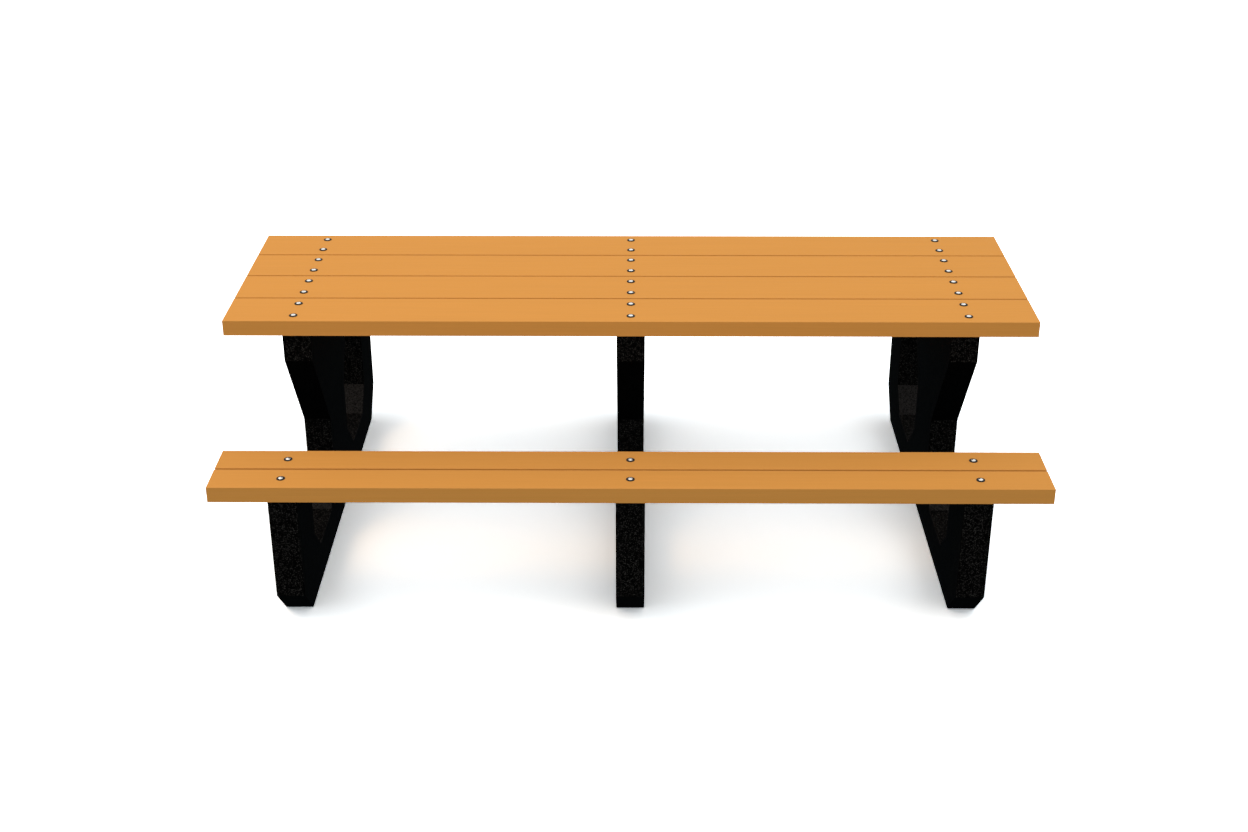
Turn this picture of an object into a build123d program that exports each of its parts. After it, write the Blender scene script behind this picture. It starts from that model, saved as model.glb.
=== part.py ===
from build123d import *
import os

# Picnic table, 8 ft long: plastic-lumber planks screwed down on three black moulded legs.
# Each leg is one thick slab: a flared column under the top, a post under each bench,
# and a foot that joins all three along the ground.
# Frame: +X along the planks, +Y from the front bench to the rear bench, +Z up. The origin
# is on the ground under the middle of the table top. All sizes are in millimetres.

# Planks
TABLE_LENGTH = 2438.4
PLANK_THICKNESS = 48.0
PLANK_EDGE_RADIUS = 1.0
TOP_HEIGHT = 825.0
TOP_PLANK_WIDTH = 179.9
TOP_PLANK_GAP = 7.2
SEAT_HEIGHT = 469.8
SEAT_PLANK_WIDTH = 112.2
SEAT_PLANK_GAP = 9.0
SEAT_OUTER_EDGE = 757.7

# Legs: the side view is the same in front and behind, and every bevel is at 45 degrees
LEG_THICKNESS = 85.0
LEG_SPACING = 1005.0
HEAD_HALF_WIDTH = 351.0
HEAD_SIDE_HEIGHT = 91.0
WAIST_HALF_WIDTH = 143.0
WAIST_TOP = 389.0
NOTCH_FLOOR = 115.0
WAIST_BEVEL = 102.0
POST_BEVEL = 80.0
POST_INNER_FACE = 540.0
POST_OUTER_FACE = 753.0
TOE_BEVEL = 103.0
LEG_CORNER_RADIUS = 5.0
LEG_EDGE_RADIUS = 2.5

# Screws, each with a low domed head on a flat washer that lies on the plank
END_SCREW_X = 1013.4
SCREW_DIAMETER = 8.0
SCREW_LENGTH = 100.0
SCREW_HEAD_DIAMETER = 14.0
SCREW_HEAD_HEIGHT = 3.6
SCREW_HEAD_RIM = 0.8
SOCKET_ACROSS_FLATS = 4.0
SOCKET_DEPTH = 1.8
PLAIN_SHANK = 48.0
THREAD_ROOT_DIAMETER = 6.0
THREAD_PITCH = 4.3
THREAD_COUNT = 10
WASHER_DIAMETER = 25.0
WASHER_BORE = 8.8
WASHER_THICKNESS = 1.5
CLEARANCE_HOLE_DIAMETER = 9.0
PILOT_DEPTH_SPARE = 3.0

# Levels and spacings that follow from the sizes above
TOP_UNDERSIDE = TOP_HEIGHT - PLANK_THICKNESS
SEAT_UNDERSIDE = SEAT_HEIGHT - PLANK_THICKNESS
TOP_PITCH = TOP_PLANK_WIDTH + TOP_PLANK_GAP
TOP_SCREW_OFFSET = TOP_PITCH / 4
SEAT_OUTER_Y = SEAT_OUTER_EDGE - SEAT_PLANK_WIDTH / 2
SEAT_INNER_Y = SEAT_OUTER_Y - SEAT_PLANK_WIDTH - SEAT_PLANK_GAP
PILOT_DEPTH = SCREW_LENGTH - WASHER_THICKNESS - PLANK_THICKNESS + PILOT_DEPTH_SPARE

# The stations along X: the name of each leg, the middle of its slab and the line of its screws
STATIONS = {
    "left": (-LEG_SPACING, -END_SCREW_X),
    "centre": (0.0, 0.0),
    "right": (LEG_SPACING, END_SCREW_X),
}

# The middle line of each plank, by name
TOP_PLANK_Y = {
    "front_outer_top_plank": -1.5 * TOP_PITCH,
    "front_inner_top_plank": -0.5 * TOP_PITCH,
    "rear_inner_top_plank": 0.5 * TOP_PITCH,
    "rear_outer_top_plank": 1.5 * TOP_PITCH,
}
SEAT_PLANK_Y = {
    "front_outer_seat_plank": -SEAT_OUTER_Y,
    "front_inner_seat_plank": -SEAT_INNER_Y,
    "rear_inner_seat_plank": SEAT_INNER_Y,
    "rear_outer_seat_plank": SEAT_OUTER_Y,
}

# The distance of each screw from the table's middle plane, for the three fields that a leg carries
TOP_SCREW_Y = [y + side * TOP_SCREW_OFFSET for y in TOP_PLANK_Y.values() for side in (-1, 1)]
FRONT_SEAT_SCREW_Y = [-SEAT_OUTER_Y, -SEAT_INNER_Y]
REAR_SEAT_SCREW_Y = [SEAT_INNER_Y, SEAT_OUTER_Y]
SCREW_FIELDS = {
    "top": (TOP_HEIGHT, TOP_SCREW_Y),
    "front_seat": (SEAT_HEIGHT, FRONT_SEAT_SCREW_Y),
    "rear_seat": (SEAT_HEIGHT, REAR_SEAT_SCREW_Y),
}


def save(builder, name):
    """Names a finished piece and writes it."""
    builder.part.label = name
    export_step(builder.part, f"parts/{name}.step")


def make_plank(name, y, width, top, screw_rows):
    """A plank with softened edges and a clearance hole for each of its screws."""
    with BuildPart() as plank:
        with BuildSketch(Plane.XY.offset(top - PLANK_THICKNESS)):
            with Locations((0, y)):
                Rectangle(TABLE_LENGTH, width)
        extrude(amount=PLANK_THICKNESS)
        fillet(plank.edges(), PLANK_EDGE_RADIUS)
        with Locations(*[(x, row, top) for _, x in STATIONS.values() for row in screw_rows]):
            Hole(radius=CLEARANCE_HOLE_DIAMETER / 2)
    save(plank, name)


def leg_half_outline():
    """Half of the leg's side view, as (distance from the middle, height), from its head to the ground."""
    return [
        (0, TOP_UNDERSIDE),
        (HEAD_HALF_WIDTH, TOP_UNDERSIDE),
        (HEAD_HALF_WIDTH, TOP_UNDERSIDE - HEAD_SIDE_HEIGHT),
        (WAIST_HALF_WIDTH, WAIST_TOP),
        (WAIST_HALF_WIDTH, NOTCH_FLOOR + WAIST_BEVEL),
        (WAIST_HALF_WIDTH + WAIST_BEVEL, NOTCH_FLOOR),
        (POST_INNER_FACE - POST_BEVEL, NOTCH_FLOOR),
        (POST_INNER_FACE, NOTCH_FLOOR + POST_BEVEL),
        (POST_INNER_FACE, SEAT_UNDERSIDE),
        (POST_OUTER_FACE, SEAT_UNDERSIDE),
        (POST_OUTER_FACE, TOE_BEVEL),
        (POST_OUTER_FACE - TOE_BEVEL, 0),
        (0, 0),
    ]


def make_leg(name, middle_x, screw_x):
    """One slab leg, with blind pilot holes in its head and in the tops of its two posts."""
    seat_rows = FRONT_SEAT_SCREW_Y + REAR_SEAT_SCREW_Y
    pilots = [(screw_x, row, TOP_UNDERSIDE) for row in TOP_SCREW_Y]
    pilots += [(screw_x, row, SEAT_UNDERSIDE) for row in seat_rows]
    with BuildPart() as leg:
        with BuildSketch(Plane.YZ.offset(middle_x - LEG_THICKNESS / 2)) as side_view:
            with BuildLine():
                Polyline(*leg_half_outline())
                mirror(about=Plane.YZ)
            make_face()
            corners = side_view.vertices().filter_by(lambda corner: abs(corner.X) > LEG_CORNER_RADIUS)
            fillet(corners, LEG_CORNER_RADIUS)
        extrude(amount=LEG_THICKNESS)
        fillet(leg.faces().filter_by(Axis.X).edges(), LEG_EDGE_RADIUS)
        with Locations(*pilots):
            Hole(radius=SCREW_DIAMETER / 2, depth=PILOT_DEPTH)
    save(leg, name)


def thread_outline():
    """Half-section of the thread, as rings that stand in for its helix, from the shank down to the tip."""
    crest = SCREW_DIAMETER / 2
    root = THREAD_ROOT_DIAMETER / 2
    outline = []
    for turn in range(THREAD_COUNT):
        start = -PLAIN_SHANK - turn * THREAD_PITCH
        outline.append((crest, start))
        outline.append((root, start - 0.3 * THREAD_PITCH))
        outline.append((root, start - 0.7 * THREAD_PITCH))
    outline.append((crest, -PLAIN_SHANK - THREAD_COUNT * THREAD_PITCH))
    return outline


def make_screws(name, x, surface, rows):
    """Lag screws with low domed heads, modelled once and set at each place."""
    with BuildPart() as screw:
        with BuildSketch(Plane.XZ):
            with BuildLine():
                dome = TangentArc(
                    (0, SCREW_HEAD_HEIGHT), (SCREW_HEAD_DIAMETER / 2, SCREW_HEAD_RIM), tangent=(1, 0)
                )
                Polyline(
                    dome @ 1,
                    (SCREW_HEAD_DIAMETER / 2, 0),
                    (SCREW_DIAMETER / 2, 0),
                    *thread_outline(),
                    (0, -SCREW_LENGTH),
                    dome @ 0,
                )
            make_face()
        revolve(axis=Axis.Z)
        with BuildSketch(Plane.XY.offset(SCREW_HEAD_HEIGHT)):
            RegularPolygon(radius=SOCKET_ACROSS_FLATS / 2, side_count=6, major_radius=False)
        extrude(amount=-SOCKET_DEPTH, mode=Mode.SUBTRACT)
    with BuildPart() as group:
        with Locations(*[(x, row, surface + WASHER_THICKNESS) for row in rows]):
            add(screw.part)
    save(group, name)


def make_washers(name, x, surface, rows):
    """Flat washers that lie on the planks."""
    with BuildPart() as group:
        with BuildSketch(Plane.XY.offset(surface)):
            with Locations(*[(x, row) for row in rows]):
                Circle(WASHER_DIAMETER / 2)
                Circle(WASHER_BORE / 2, mode=Mode.SUBTRACT)
        extrude(amount=WASHER_THICKNESS)
    save(group, name)


os.makedirs("parts", exist_ok=True)

for plank_name, plank_y in TOP_PLANK_Y.items():
    screw_rows = [plank_y - TOP_SCREW_OFFSET, plank_y + TOP_SCREW_OFFSET]
    make_plank(plank_name, plank_y, TOP_PLANK_WIDTH, TOP_HEIGHT, screw_rows)

for plank_name, plank_y in SEAT_PLANK_Y.items():
    make_plank(plank_name, plank_y, SEAT_PLANK_WIDTH, SEAT_HEIGHT, [plank_y])

for station, (leg_x, screw_x) in STATIONS.items():
    make_leg(f"{station}_leg", leg_x, screw_x)
    for field, (surface, rows) in SCREW_FIELDS.items():
        make_screws(f"{station}_{field}_screws", screw_x, surface, rows)
        make_washers(f"{station}_{field}_washers", screw_x, surface, rows)
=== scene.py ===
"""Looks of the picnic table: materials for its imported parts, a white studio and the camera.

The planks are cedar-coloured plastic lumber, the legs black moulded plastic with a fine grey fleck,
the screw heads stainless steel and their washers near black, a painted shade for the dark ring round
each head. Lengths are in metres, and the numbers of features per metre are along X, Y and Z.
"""

import math

import bpy
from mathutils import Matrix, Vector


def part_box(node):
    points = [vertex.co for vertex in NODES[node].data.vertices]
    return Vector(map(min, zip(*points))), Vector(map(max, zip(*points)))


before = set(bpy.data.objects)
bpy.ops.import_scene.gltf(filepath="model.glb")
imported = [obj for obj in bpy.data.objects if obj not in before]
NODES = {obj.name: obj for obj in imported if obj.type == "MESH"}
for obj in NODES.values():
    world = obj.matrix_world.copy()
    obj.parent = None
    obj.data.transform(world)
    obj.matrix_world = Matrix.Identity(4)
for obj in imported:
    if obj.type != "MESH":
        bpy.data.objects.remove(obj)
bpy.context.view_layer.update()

# Camera
CAMERA_PLACE = (0.003, -5.132, 2.834)
CAMERA_PITCH = 64.01
CAMERA_YAW = 0.278
LENS_MM = 50.0
SENSOR_MM = 36.0

# Studio: a white sky, a little light from below, a weak warm lamp over the left end, and a floor bright
# enough to wash out at its edges
FLOOR_SIZE = 800.0
FLOOR_WHITE = (2.00, 2.10, 2.16)
SKY_WHITE = (1.0, 1.0, 1.0)
SKY_STRENGTH = 1.1
LOWER_SKY = (0.10, 0.13, 0.15)
HORIZON_DIP = 0.015
LAMP_PLACE = (-4.0, -1.5, 5.0)
LAMP_SIZE = 2.0
LAMP_WATTS = 40.0
LAMP_COLOUR = (1.0, 0.55, 0.20)

# Skin of the planks
CEDAR = (0.634, 0.285, 0.064)
PLANK_GLOSS = 0.01
STREAKS_PER_METRE = (1.4, 150.0, 150.0)
STREAK_CONTRAST = 0.08
STREAK_DEPTH = 0.00015
LINES_PER_METRE = (5.0, 900.0, 900.0)
LINE_CONTRAST = 0.16
LINE_DEPTH = 0.00006
CLOUDS_PER_METRE = (0.9, 7.0, 7.0)
CLOUD_CONTRAST = 0.04
GRAIN_PER_METRE = (260.0, 1500.0, 1500.0)
GRAIN_DEPTH = 0.00003
PLANK_CONTRAST = 0.008
SKIN_ROUGHNESS = 0.42
STREAK_ROUGHNESS = 0.16

# Rubbed edges of the planks
CEDAR_WORN = (0.69, 0.34, 0.10)
WORN_EDGE = 0.0035
WORN_SHARE = 0.35
RUBS_PER_METRE = (25.0, 90.0, 90.0)

# Sawn ends of the planks: saw lines, and pores in the core under the skin
CEDAR_CORE = (0.60, 0.25, 0.060)
CEDAR_PORE = (0.30, 0.11, 0.025)
END_FACE_NORMAL = 0.8
SAW_LINES_PER_METRE = (40.0, 12.0, 900.0)
SAW_LINE_RANGE = (0.3, 0.7)
SAW_LINE_TONES = (0.88, 1.08)
SAW_LINE_HEIGHT = 0.4
PORES_PER_METRE = 420.0
PORE_RANGE = (0.34, 0.16)
SKIN_DEPTH = 0.007
SKIN_FADE = 0.4
SAWN_DEPTH = 0.0004
SAWN_ROUGHNESS = 0.3

# Legs: flecks on every face, fewer on the broad sides and undersides as painted shade, and painted light on
# the bevels that face up at a slant
LEG_BLACK = (0.0006, 0.0006, 0.0006)
LEG_FLECK = (0.026, 0.025, 0.0235)
LEG_PAINTED_LIGHT = (0.027, 0.0255, 0.0245)
LEG_GLOSS = 0.005
FLECKS_PER_METRE = 380.0
FLECK_SHARE = 0.35
FLECK_STRENGTH = 0.3
FLECK_VARIATION = 1.2
SIDE_FLECK_PAINTED_SHADE = 0.25
SIDE_FACE_NORMAL = 0.7
UNDERSIDE_FLECK_PAINTED_SHADE = 0.1
UNDERNEATH_RANGE = (-0.5, -0.1)
BEVEL_START = (0.35, 0.6)
BEVEL_END = (0.8, 0.95)
PAINTED_LIGHT_ON_LEVEL = 0.1
PAINTED_LIGHT_STRENGTH = 0.1
PAINTED_LIGHT_VARIATION = 0.8
MOTTLE_PER_METRE = (120.0, 120.0, 120.0)
PEEL_PER_METRE = (260.0, 260.0, 260.0)
PEEL_DEPTH = 0.00015
GRIT_PER_METRE = (1400.0, 1400.0, 1400.0)
GRIT_DEPTH = 0.00003
LEG_ROUGHNESS = 0.55
MOTTLE_ROUGHNESS = 0.25

# Screws
STEEL = (0.86, 0.87, 0.85)
STEEL_STAIN = (0.68, 0.67, 0.63)
STAINS_PER_METRE = (220.0, 220.0, 220.0)
STAIN_RANGE = (0.45, 0.75)
BRUSHING_PER_METRE = (4000.0, 700.0, 4000.0)
BRUSHING_DEPTH = 0.000008
STEEL_ROUGHNESS = 0.16
BRUSHING_ROUGHNESS = 0.16

# Washers: near black, a painted shade for the dark ring round each screw head
WASHER_PAINTED_SHADE = (0.032, 0.031, 0.029)
WASHER_SCUFF = (0.055, 0.053, 0.049)
WASHER_GLOSS = 0.005
SCUFFS_PER_METRE = (900.0, 300.0, 900.0)
SCUFF_RANGE = (0.5, 0.8)
SCUFF_DEPTH = 0.00003
WASHER_ROUGHNESS = 0.45
SCUFF_ROUGHNESS = 0.3

# The places of the colour sockets on a Mix node, which shares its socket names among its kinds of value
MIX_FIRST = 6
MIX_SECOND = 7
MIX_RESULT = 2


class Tree:
    """A node tree in the making, with short calls that add one node each and return its output."""

    def __init__(self, tree):
        self.tree = tree

    def feed(self, socket, value):
        """Links an output to a socket, or sets the socket to a number or colour."""
        if isinstance(value, bpy.types.NodeSocket):
            self.tree.links.new(value, socket)
        elif isinstance(value, tuple) and len(value) < len(socket.default_value):
            socket.default_value = (*value, 1.0)
        else:
            socket.default_value = value

    def add(self, kind, inputs=None, output=0, **settings):
        """Adds a node with these inputs and settings."""
        node = self.tree.nodes.new("ShaderNode" + kind)
        for setting, value in settings.items():
            setattr(node, setting, value)
        for socket, value in (inputs or {}).items():
            self.feed(node.inputs[socket], value)
        return node.outputs[output]

    def math(self, operation, *values):
        """One step of arithmetic."""
        return self.add("Math", dict(enumerate(values)), operation=operation)

    def coordinates(self, kind):
        """The place of a point, in one of Blender's kinds of coordinates."""
        return self.add("TexCoord", output=kind)

    def axes(self, vector):
        """The X, Y and Z of a vector."""
        split = self.add("SeparateXYZ", {0: vector}).node
        return split.outputs

    def blend(self, share, colour, other):
        """Goes from one colour to the other as the share goes from 0 to 1."""
        inputs = {"Factor": share, MIX_FIRST: colour, MIX_SECOND: other}
        return self.add("Mix", inputs, output=MIX_RESULT, data_type="RGBA")


class Surface(Tree):
    """The node tree of a new material, with calls for patterns, bumps and the shader."""

    def __init__(self, name, **sockets):
        self.material = bpy.data.materials.new(name)
        self.material.use_nodes = True
        super().__init__(self.material.node_tree)
        self.finish(**sockets)

    def facing(self, axis):
        """How squarely the surface faces along an axis, from -1 to 1."""
        return self.axes(self.add("NewGeometry", output="Normal"))[axis]

    def noise(self, place, per_metre, detail=2.0):
        """Soft noise about 0.5, with its own number of features per metre along X, Y and Z."""
        stretched = self.add("VectorMath", {0: place, 1: per_metre}, operation="MULTIPLY")
        return self.add("TexNoise", {"Vector": stretched, "Scale": 1.0, "Detail": detail})

    def cells(self, place, per_metre, output):
        """Cells of uneven shape, each with its own colour, or the distance to the nearest cell's middle."""
        return self.add("TexVoronoi", {"Vector": place, "Scale": per_metre}, output=output)

    def ramp(self, value, start, end, low=0.0, high=1.0):
        """Runs smoothly from low to high as the value goes from start to end."""
        inputs = {0: value, 1: start, 2: end, 3: low, 4: high}
        return self.add("MapRange", inputs, interpolation_type="SMOOTHSTEP", clamp=True)

    def scale(self, colour, factor):
        """Makes a colour lighter or darker."""
        return self.add("VectorMath", {0: colour, "Scale": factor}, operation="SCALE")

    def bump(self, height, depth, under=None):
        """Raises the surface by up to depth, on top of another bump if there is one."""
        inputs = {"Height": height, "Distance": depth, "Strength": 1.0}
        if under is not None:
            inputs["Normal"] = under
        return self.add("Bump", inputs)

    def finish(self, **sockets):
        """Feeds the sockets of the shader and returns the material."""
        shader = self.tree.nodes["Principled BSDF"]
        for socket, value in sockets.items():
            self.feed(shader.inputs[socket.replace("_", " ")], value)
        return self.material


def edge_distances(surface, width, thickness):
    """How deep a point is inside a plank's section: from its long edges, and from its two faces."""
    across = surface.axes(surface.coordinates("Generated"))
    distances = []
    for axis, size in (("Y", width), ("Z", thickness)):
        from_middle = surface.math("ABSOLUTE", surface.math("SUBTRACT", across[axis], 0.5))
        distances.append(surface.math("MULTIPLY", surface.math("SUBTRACT", 0.5, from_middle), size))
    return distances


def plank_material(name, width, thickness):
    """Drawn plastic lumber: faint streaks along it, rubbed edges, and sawn ends with a porous core."""
    cedar = Surface(name, Specular_IOR_Level=PLANK_GLOSS)
    place = cedar.coordinates("Object")
    streaks = cedar.noise(place, STREAKS_PER_METRE, detail=4.0)
    lines = cedar.noise(place, LINES_PER_METRE)
    clouds = cedar.noise(place, CLOUDS_PER_METRE)
    grain = cedar.noise(place, GRAIN_PER_METRE, detail=3.0)
    one_plank = cedar.add("ObjectInfo", output="Random")

    tone = 1.0
    contrasts = {
        streaks: STREAK_CONTRAST,
        lines: LINE_CONTRAST,
        clouds: CLOUD_CONTRAST,
        one_plank: PLANK_CONTRAST,
    }
    for pattern, contrast in contrasts.items():
        swing = cedar.math("MULTIPLY", cedar.math("SUBTRACT", pattern, 0.5), contrast)
        tone = cedar.math("ADD", tone, swing)
    skin = cedar.scale(CEDAR, tone)

    from_edge, from_face = edge_distances(cedar, width, thickness)
    from_corner = cedar.math("ADD", from_edge, from_face)
    rubbed = cedar.ramp(from_corner, WORN_EDGE, 0.0, high=WORN_SHARE)
    rubbed = cedar.math("MULTIPLY", rubbed, cedar.noise(place, RUBS_PER_METRE, detail=4.0))
    skin = cedar.blend(rubbed, skin, CEDAR_WORN)

    saw_lines = cedar.noise(place, SAW_LINES_PER_METRE, detail=3.0)
    pores = cedar.ramp(cedar.cells(place, PORES_PER_METRE, "Distance"), *PORE_RANGE)
    depth = cedar.math("MINIMUM", from_edge, from_face)
    deep = cedar.ramp(depth, (1.0 - SKIN_FADE) * SKIN_DEPTH, (1.0 + SKIN_FADE) * SKIN_DEPTH)
    pores = cedar.math("MULTIPLY", pores, deep)
    sawn = cedar.scale(CEDAR_CORE, cedar.ramp(saw_lines, *SAW_LINE_RANGE, *SAW_LINE_TONES))
    sawn = cedar.blend(pores, sawn, CEDAR_PORE)

    end_face = cedar.math("GREATER_THAN", cedar.math("ABSOLUTE", cedar.facing("X")), END_FACE_NORMAL)
    colour = cedar.blend(end_face, skin, sawn)
    roughness = cedar.math("MULTIPLY_ADD", streaks, STREAK_ROUGHNESS, SKIN_ROUGHNESS)
    roughness = cedar.math("ADD", roughness, cedar.math("MULTIPLY", end_face, SAWN_ROUGHNESS))

    relief = cedar.bump(grain, GRAIN_DEPTH)
    for pattern, pattern_depth in ((lines, LINE_DEPTH), (streaks, STREAK_DEPTH)):
        relief = cedar.bump(pattern, pattern_depth, under=relief)
    end_height = cedar.math("SUBTRACT", cedar.math("MULTIPLY", saw_lines, SAW_LINE_HEIGHT), pores)
    end_height = cedar.math("MULTIPLY", end_height, end_face)
    relief = cedar.bump(end_height, SAWN_DEPTH, under=relief)
    return cedar.finish(Base_Color=colour, Roughness=roughness, Normal=relief)


def leg_material():
    """Black moulded plastic with grey flecks: fewer flecks on its broad sides and undersides as painted
    shade, and painted light on its slanted bevels.
    """
    black = Surface("black_moulded_plastic", Specular_IOR_Level=LEG_GLOSS)
    place = black.coordinates("Object")
    cell = black.axes(black.cells(place, FLECKS_PER_METRE, "Color"))
    mottle = black.noise(place, MOTTLE_PER_METRE, detail=4.0)

    broad_side = black.math("GREATER_THAN", black.math("ABSOLUTE", black.facing("X")), SIDE_FACE_NORMAL)
    upward = black.facing("Z")
    fleck = black.ramp(cell["X"], 1.0 - FLECK_SHARE, 1.0)
    shares = (
        black.math("MULTIPLY_ADD", mottle, FLECK_VARIATION, FLECK_STRENGTH),
        # Fewer flecks on the broad sides and the undersides: painted shade, as if less light fell there
        black.ramp(broad_side, 0.0, 1.0, 1.0, SIDE_FLECK_PAINTED_SHADE),
        black.ramp(upward, *UNDERNEATH_RANGE, UNDERSIDE_FLECK_PAINTED_SHADE, 1.0),
    )
    for share in shares:
        fleck = black.math("MULTIPLY", fleck, share)
    colour = black.blend(fleck, LEG_BLACK, LEG_FLECK)

    # A lighter colour on the bevels that face up at a slant, less on level faces: painted light, where the
    # bevels catch more light
    level = black.ramp(upward, *BEVEL_END, 1.0, PAINTED_LIGHT_ON_LEVEL)
    bevel = black.math("MULTIPLY", black.ramp(upward, *BEVEL_START), level)
    patches = black.math("MULTIPLY_ADD", cell["Y"], PAINTED_LIGHT_VARIATION, PAINTED_LIGHT_STRENGTH)
    colour = black.blend(black.math("MULTIPLY", bevel, patches), colour, LEG_PAINTED_LIGHT)

    relief = black.bump(black.noise(place, GRIT_PER_METRE), GRIT_DEPTH)
    relief = black.bump(black.noise(place, PEEL_PER_METRE), PEEL_DEPTH, under=relief)
    roughness = black.math("MULTIPLY_ADD", mottle, MOTTLE_ROUGHNESS, LEG_ROUGHNESS)
    return black.finish(Base_Color=colour, Roughness=roughness, Normal=relief)


def steel_material():
    """Stainless steel, finely brushed, with a slight stain."""
    steel = Surface("stainless_steel", Metallic=1.0)
    place = steel.coordinates("Object")
    brushing = steel.noise(place, BRUSHING_PER_METRE, detail=3.0)
    stain = steel.noise(place, STAINS_PER_METRE, detail=3.0)
    return steel.finish(
        Base_Color=steel.blend(steel.ramp(stain, *STAIN_RANGE), STEEL, STEEL_STAIN),
        Roughness=steel.math("MULTIPLY_ADD", brushing, BRUSHING_ROUGHNESS, STEEL_ROUGHNESS),
        Normal=steel.bump(brushing, BRUSHING_DEPTH),
    )


def washer_material():
    """Near black, a painted shade for the dark ring round each screw head, with light scuffs."""
    washer_surface = Surface("washer_painted_shade", Specular_IOR_Level=WASHER_GLOSS)
    place = washer_surface.coordinates("Object")
    scuffs = washer_surface.noise(place, SCUFFS_PER_METRE, detail=4.0)
    return washer_surface.finish(
        # The near-black washer colour is painted shade for the dark ring round each screw head; the lighter
        # scuffs are wear
        Base_Color=washer_surface.blend(washer_surface.ramp(scuffs, *SCUFF_RANGE), WASHER_PAINTED_SHADE, WASHER_SCUFF),
        Roughness=washer_surface.math("MULTIPLY_ADD", scuffs, SCUFF_ROUGHNESS, WASHER_ROUGHNESS),
        Normal=washer_surface.bump(scuffs, SCUFF_DEPTH),
    )


def plank_size(ending):
    """Width and thickness of the planks whose names have this ending."""
    low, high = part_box(next(name for name in NODES if name.endswith(ending)))
    return high[1] - low[1], high[2] - low[2]


def dress_parts():
    """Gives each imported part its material, by the ending of its name."""
    finishes = {
        "_top_plank": plank_material("cedar_top_plank", *plank_size("_top_plank")),
        "_seat_plank": plank_material("cedar_seat_plank", *plank_size("_seat_plank")),
        "_leg": leg_material(),
        "_screws": steel_material(),
        "_washers": washer_material(),
    }
    for ending, material in finishes.items():
        for name in NODES:
            if name.endswith(ending):
                NODES[name].data.materials.clear()
                NODES[name].data.materials.append(material)


def floor_material():
    """Matt paint, brighter than white."""
    paint = bpy.data.materials.new("studio_white")
    paint.use_nodes = True
    nodes = Tree(paint.node_tree)
    matt = nodes.add("BsdfDiffuse", {"Color": FLOOR_WHITE})
    nodes.feed(paint.node_tree.nodes["Material Output"].inputs["Surface"], matt)
    return paint


def make_floor():
    """A white floor that takes the table's shadow but isn't seen by the light on the table."""
    half = FLOOR_SIZE / 2
    corners = [(-half, -half, 0), (half, -half, 0), (half, half, 0), (-half, half, 0)]
    mesh = bpy.data.meshes.new("studio_floor")
    mesh.from_pydata(corners, [], [(0, 1, 2, 3)])
    mesh.materials.append(floor_material())
    floor = bpy.data.objects.new("studio_floor", mesh)
    bpy.context.scene.collection.objects.link(floor)
    floor.visible_diffuse = False
    floor.visible_glossy = False


def make_sky():
    """A white sky over the table and a dim one under the horizon."""
    world = bpy.data.worlds.new("studio_sky")
    bpy.context.scene.world = world
    world.use_nodes = True
    sky = Tree(world.node_tree)
    height = sky.axes(sky.coordinates("Generated"))["Z"]
    above = sky.math("GREATER_THAN", height, -HORIZON_DIP)
    light = world.node_tree.nodes["Background"]
    sky.feed(light.inputs["Color"], sky.blend(above, LOWER_SKY, SKY_WHITE))
    sky.feed(light.inputs["Strength"], SKY_STRENGTH)


def make_lamp():
    """A weak warm area lamp, turned towards the origin."""
    lamp = bpy.data.objects.new("warm_lamp", bpy.data.lights.new("warm_lamp", "AREA"))
    bpy.context.scene.collection.objects.link(lamp)
    lamp.data.size = LAMP_SIZE
    lamp.data.energy = LAMP_WATTS
    lamp.data.color = LAMP_COLOUR
    lamp.location = LAMP_PLACE
    lamp.rotation_euler = lamp.location.to_track_quat("Z", "Y").to_euler()


def make_camera():
    """The camera in front of the table, which looks down on it."""
    camera = bpy.data.objects.new("camera", bpy.data.cameras.new("camera"))
    bpy.context.scene.collection.objects.link(camera)
    camera.data.lens = LENS_MM
    camera.data.sensor_width = SENSOR_MM
    camera.data.sensor_fit = "HORIZONTAL"
    camera.data.clip_end = FLOOR_SIZE
    camera.location = CAMERA_PLACE
    camera.rotation_euler = (math.radians(CAMERA_PITCH), 0, math.radians(CAMERA_YAW))
    bpy.context.scene.camera = camera


make_camera()
dress_parts()
make_floor()
make_sky()
make_lamp()
bpy.context.scene.view_settings.view_transform = "Standard"
